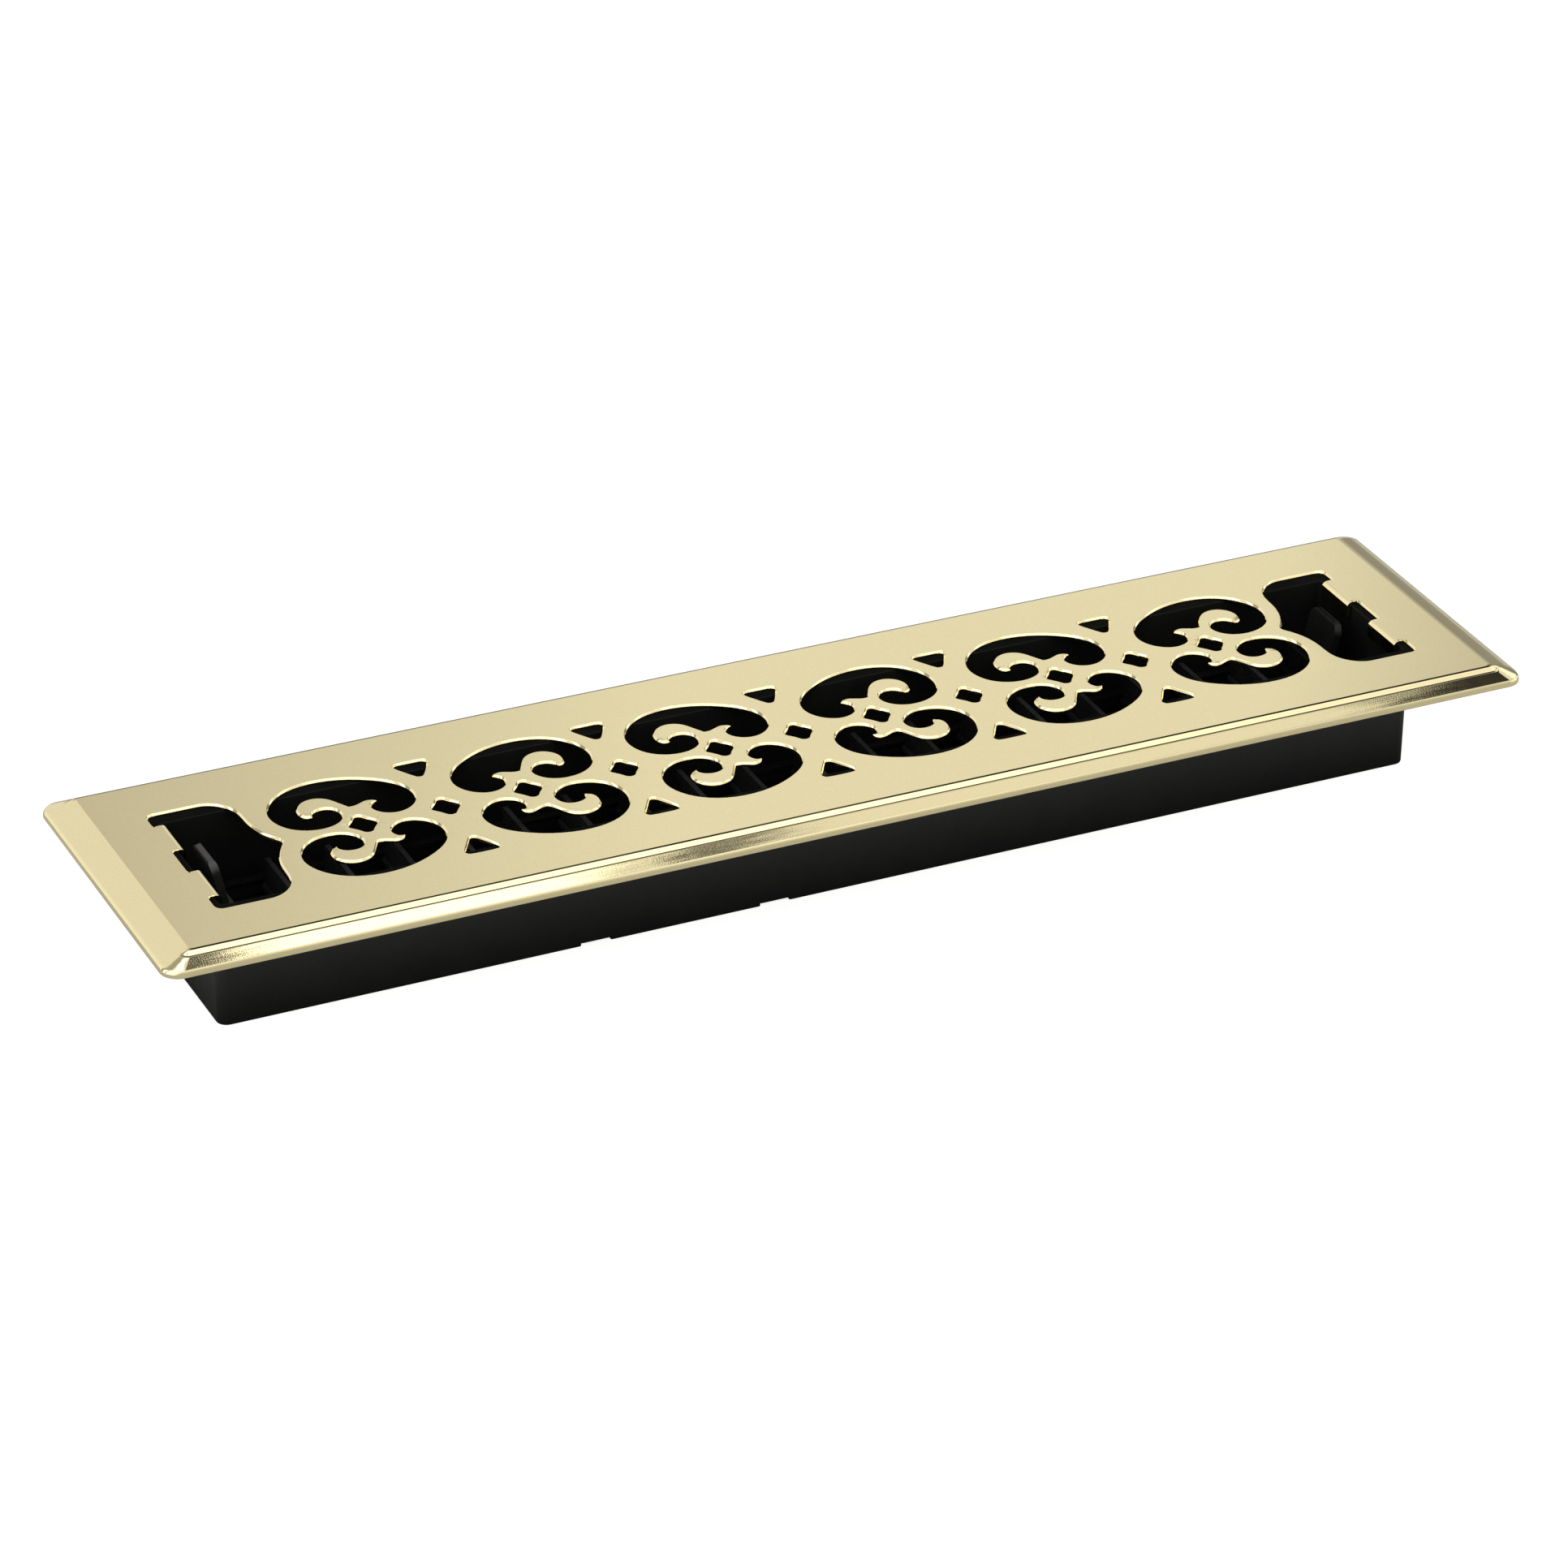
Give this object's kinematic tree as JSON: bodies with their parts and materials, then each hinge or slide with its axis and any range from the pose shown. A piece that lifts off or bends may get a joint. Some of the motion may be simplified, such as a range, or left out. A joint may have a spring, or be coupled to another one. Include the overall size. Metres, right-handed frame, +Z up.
{
  "type": "floor register",
  "caption": "Pierced and bevelled metal faceplate over a plastic damper box, with linked crosswise vanes opened and closed by a thumb lever at each end.",
  "frame": {"origin": "centre of the damper box's bottom edge", "axes": "X along the register, Y across it with the front at -Y, Z up out of the faceplate"},
  "size_m": [0.3938, 0.0952, 0.036],
  "materials": {
    "brass_plate": "polished plating",
    "black_plastic": "satin moulded"
  },
  "bodies": {
    "register_frame": {"faceplate": "brass_plate", "damper_box": "black_plastic", "bearing_rail_front": "black_plastic", "bearing_rail_rear": "black_plastic"},
    "lever_left": {"lever_left": "black_plastic"},
    "link_bar_left": {"link_bar_left": "black_plastic"},
    "vane_left_1": {"vane_left_1": "black_plastic"},
    "vane_left_2": {"vane_left_2": "black_plastic"},
    "vane_left_3": {"vane_left_3": "black_plastic"},
    "vane_left_4": {"vane_left_4": "black_plastic"},
    "vane_left_5": {"vane_left_5": "black_plastic"},
    "vane_left_6": {"vane_left_6": "black_plastic"},
    "vane_left_7": {"vane_left_7": "black_plastic"},
    "vane_left_8": {"vane_left_8": "black_plastic"},
    "vane_left_9": {"vane_left_9": "black_plastic"},
    "lever_right": {"lever_right": "black_plastic"},
    "link_bar_right": {"link_bar_right": "black_plastic"},
    "vane_right_1": {"vane_right_1": "black_plastic"},
    "vane_right_2": {"vane_right_2": "black_plastic"},
    "vane_right_3": {"vane_right_3": "black_plastic"},
    "vane_right_4": {"vane_right_4": "black_plastic"},
    "vane_right_5": {"vane_right_5": "black_plastic"},
    "vane_right_6": {"vane_right_6": "black_plastic"},
    "vane_right_7": {"vane_right_7": "black_plastic"},
    "vane_right_8": {"vane_right_8": "black_plastic"},
    "vane_right_9": {"vane_right_9": "black_plastic"}
  },
  "joints": [
    {"name": "lever_left_turn", "type": "hinge", "parent": "register_frame", "child": "lever_left", "pos_m": [-0.16092, 0, 0.011], "axis": [0, 1, 0], "range_deg": [0, 82]},
    {"name": "link_bar_left_swing", "type": "hinge", "parent": "lever_left", "child": "link_bar_left", "pos_m": [-0.15592, 0, 0.006], "axis": [0, 1, 0], "range_deg": [-82, 0]},
    {"name": "vane_left_1_turn", "type": "hinge", "parent": "register_frame", "child": "vane_left_1", "pos_m": [-0.009, 0, 0.011], "axis": [0, 1, 0], "range_deg": [0, 82]},
    {"name": "vane_left_2_turn", "type": "hinge", "parent": "register_frame", "child": "vane_left_2", "pos_m": [-0.02588, 0, 0.011], "axis": [0, 1, 0], "range_deg": [0, 82]},
    {"name": "vane_left_3_turn", "type": "hinge", "parent": "register_frame", "child": "vane_left_3", "pos_m": [-0.04276, 0, 0.011], "axis": [0, 1, 0], "range_deg": [0, 82]},
    {"name": "vane_left_4_turn", "type": "hinge", "parent": "register_frame", "child": "vane_left_4", "pos_m": [-0.05964, 0, 0.011], "axis": [0, 1, 0], "range_deg": [0, 82]},
    {"name": "vane_left_5_turn", "type": "hinge", "parent": "register_frame", "child": "vane_left_5", "pos_m": [-0.07652, 0, 0.011], "axis": [0, 1, 0], "range_deg": [0, 82]},
    {"name": "vane_left_6_turn", "type": "hinge", "parent": "register_frame", "child": "vane_left_6", "pos_m": [-0.0934, 0, 0.011], "axis": [0, 1, 0], "range_deg": [0, 82]},
    {"name": "vane_left_7_turn", "type": "hinge", "parent": "register_frame", "child": "vane_left_7", "pos_m": [-0.11028, 0, 0.011], "axis": [0, 1, 0], "range_deg": [0, 82]},
    {"name": "vane_left_8_turn", "type": "hinge", "parent": "register_frame", "child": "vane_left_8", "pos_m": [-0.12716, 0, 0.011], "axis": [0, 1, 0], "range_deg": [0, 82]},
    {"name": "vane_left_9_turn", "type": "hinge", "parent": "register_frame", "child": "vane_left_9", "pos_m": [-0.14404, 0, 0.011], "axis": [0, 1, 0], "range_deg": [0, 82]},
    {"name": "lever_right_turn", "type": "hinge", "parent": "register_frame", "child": "lever_right", "pos_m": [0.16092, 0, 0.011], "axis": [0, -1, 0], "range_deg": [0, 82]},
    {"name": "link_bar_right_swing", "type": "hinge", "parent": "lever_right", "child": "link_bar_right", "pos_m": [0.15592, 0, 0.006], "axis": [0, -1, 0], "range_deg": [-82, 0]},
    {"name": "vane_right_1_turn", "type": "hinge", "parent": "register_frame", "child": "vane_right_1", "pos_m": [0.009, 0, 0.011], "axis": [0, -1, 0], "range_deg": [0, 82]},
    {"name": "vane_right_2_turn", "type": "hinge", "parent": "register_frame", "child": "vane_right_2", "pos_m": [0.02588, 0, 0.011], "axis": [0, -1, 0], "range_deg": [0, 82]},
    {"name": "vane_right_3_turn", "type": "hinge", "parent": "register_frame", "child": "vane_right_3", "pos_m": [0.04276, 0, 0.011], "axis": [0, -1, 0], "range_deg": [0, 82]},
    {"name": "vane_right_4_turn", "type": "hinge", "parent": "register_frame", "child": "vane_right_4", "pos_m": [0.05964, 0, 0.011], "axis": [0, -1, 0], "range_deg": [0, 82]},
    {"name": "vane_right_5_turn", "type": "hinge", "parent": "register_frame", "child": "vane_right_5", "pos_m": [0.07652, 0, 0.011], "axis": [0, -1, 0], "range_deg": [0, 82]},
    {"name": "vane_right_6_turn", "type": "hinge", "parent": "register_frame", "child": "vane_right_6", "pos_m": [0.0934, 0, 0.011], "axis": [0, -1, 0], "range_deg": [0, 82]},
    {"name": "vane_right_7_turn", "type": "hinge", "parent": "register_frame", "child": "vane_right_7", "pos_m": [0.11028, 0, 0.011], "axis": [0, -1, 0], "range_deg": [0, 82]},
    {"name": "vane_right_8_turn", "type": "hinge", "parent": "register_frame", "child": "vane_right_8", "pos_m": [0.12716, 0, 0.011], "axis": [0, -1, 0], "range_deg": [0, 82]},
    {"name": "vane_right_9_turn", "type": "hinge", "parent": "register_frame", "child": "vane_right_9", "pos_m": [0.14404, 0, 0.011], "axis": [0, -1, 0], "range_deg": [0, 82]}
  ],
  "couplings": [
    {"joint": "link_bar_left_swing", "follows": "lever_left_turn", "ratio": -1},
    {"joint": "vane_left_1_turn", "follows": "lever_left_turn", "ratio": 1},
    {"joint": "vane_left_2_turn", "follows": "lever_left_turn", "ratio": 1},
    {"joint": "vane_left_3_turn", "follows": "lever_left_turn", "ratio": 1},
    {"joint": "vane_left_4_turn", "follows": "lever_left_turn", "ratio": 1},
    {"joint": "vane_left_5_turn", "follows": "lever_left_turn", "ratio": 1},
    {"joint": "vane_left_6_turn", "follows": "lever_left_turn", "ratio": 1},
    {"joint": "vane_left_7_turn", "follows": "lever_left_turn", "ratio": 1},
    {"joint": "vane_left_8_turn", "follows": "lever_left_turn", "ratio": 1},
    {"joint": "vane_left_9_turn", "follows": "lever_left_turn", "ratio": 1},
    {"joint": "link_bar_right_swing", "follows": "lever_right_turn", "ratio": -1},
    {"joint": "vane_right_1_turn", "follows": "lever_right_turn", "ratio": 1},
    {"joint": "vane_right_2_turn", "follows": "lever_right_turn", "ratio": 1},
    {"joint": "vane_right_3_turn", "follows": "lever_right_turn", "ratio": 1},
    {"joint": "vane_right_4_turn", "follows": "lever_right_turn", "ratio": 1},
    {"joint": "vane_right_5_turn", "follows": "lever_right_turn", "ratio": 1},
    {"joint": "vane_right_6_turn", "follows": "lever_right_turn", "ratio": 1},
    {"joint": "vane_right_7_turn", "follows": "lever_right_turn", "ratio": 1},
    {"joint": "vane_right_8_turn", "follows": "lever_right_turn", "ratio": 1},
    {"joint": "vane_right_9_turn", "follows": "lever_right_turn", "ratio": 1}
  ]
}
